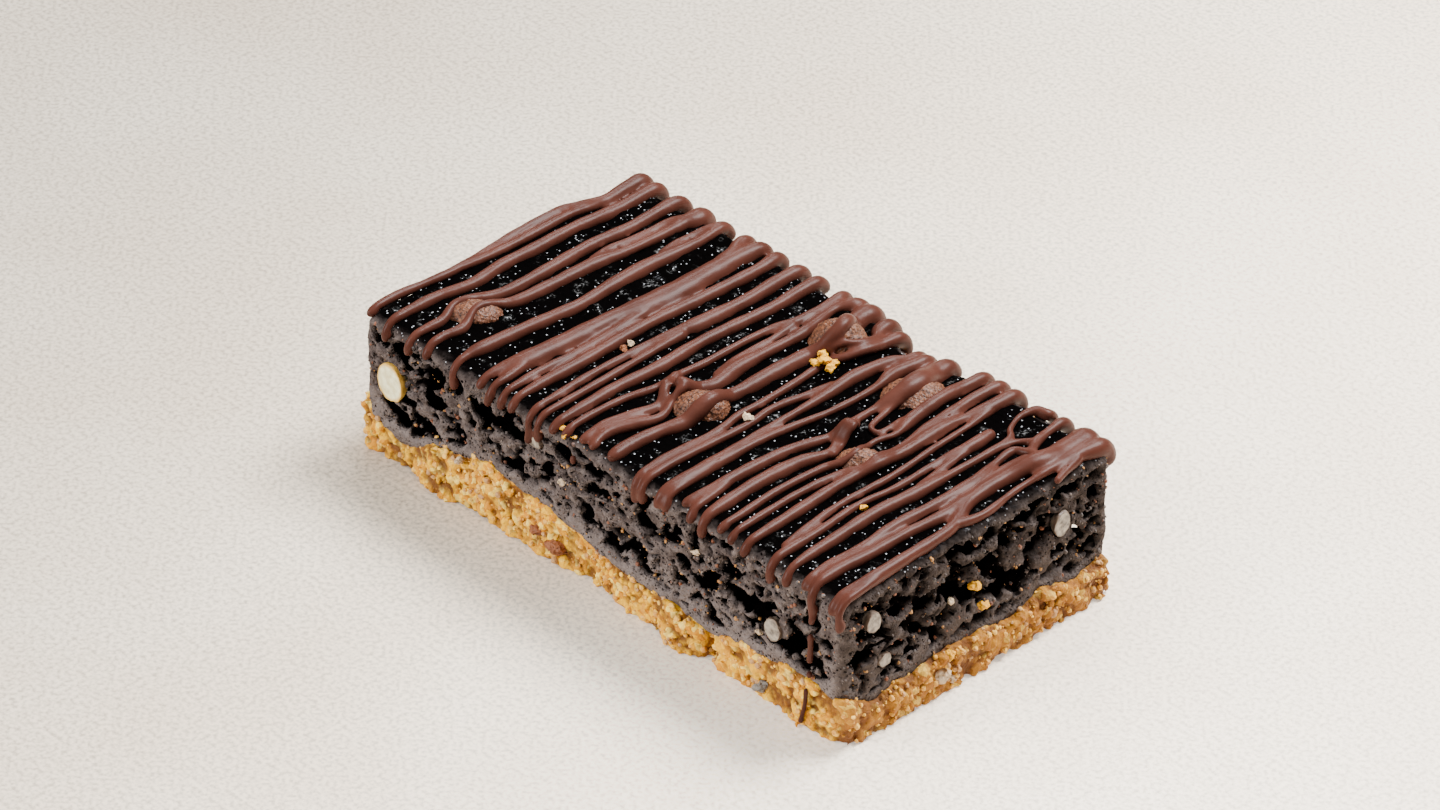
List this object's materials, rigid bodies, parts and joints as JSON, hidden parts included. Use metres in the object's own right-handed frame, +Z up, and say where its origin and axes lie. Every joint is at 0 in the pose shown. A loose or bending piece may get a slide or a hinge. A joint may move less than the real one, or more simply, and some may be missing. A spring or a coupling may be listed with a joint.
{
  "type": "chocolate brownie bar",
  "caption": "Cut bar of open-crumbed chocolate brownie on a crumbly biscuit base, with chocolate chips, nut pieces and a thick chocolate drizzle.",
  "frame": {"origin": "centre of the flat underside of the biscuit base", "axes": "+X along the bar to its cut end, +Z up, the long cut side that shows faces -Y"},
  "size_m": [0.1014, 0.054, 0.0276],
  "materials": {
    "biscuit": "crumbly, matt",
    "cake": "open crumb with a shiny crust and drizzle",
    "chip": "grainy chocolate",
    "nut": "cut nut, matt"
  },
  "bodies": {
    "root": {"biscuit_base": "biscuit", "brownie_cake": "cake", "chocolate_chip_1": "chip", "chocolate_chip_2": "chip", "chocolate_chip_3": "chip", "chocolate_chip_4": "chip", "chocolate_chip_5": "chip", "nut_piece_1": "nut", "nut_piece_2": "nut", "nut_piece_3": "nut", "nut_piece_4": "nut", "nut_piece_5": "nut", "nut_piece_6": "nut"}
  },
  "joints": []
}
